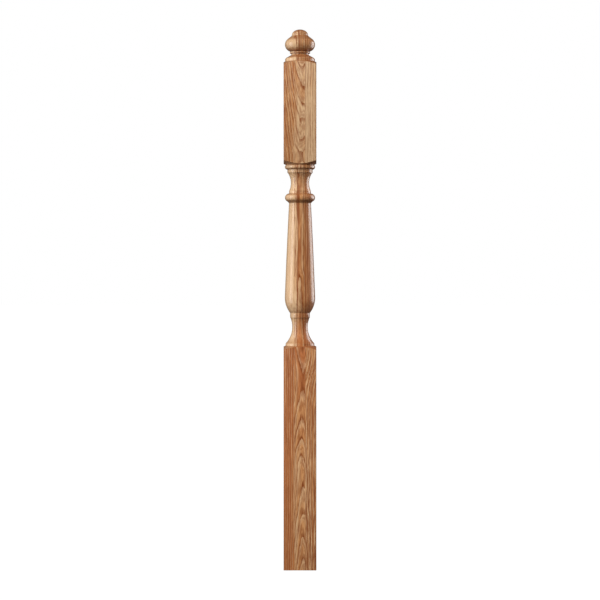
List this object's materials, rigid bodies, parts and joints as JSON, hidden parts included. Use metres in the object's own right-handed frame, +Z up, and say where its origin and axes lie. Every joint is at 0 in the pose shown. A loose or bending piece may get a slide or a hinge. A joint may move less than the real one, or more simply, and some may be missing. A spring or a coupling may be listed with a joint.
{
  "type": "newel post",
  "caption": "Turned stair newel post: square base block, tapered column with beads and coves, square upper block for the handrail and a mushroom cap, in clear-finished oak.",
  "frame": {"origin": "middle of the underside of the base block, on the turning axis", "axes": "+Z up along the turning axis, +X and +Y square to two faces of the blocks; the best face looks along -Y"},
  "size_m": [0.0826, 0.0826, 1.3631],
  "materials": {
    "oak": "clear satin lacquer over open-grained red oak"
  },
  "bodies": {
    "root": {"newel_post": "oak"}
  },
  "joints": []
}
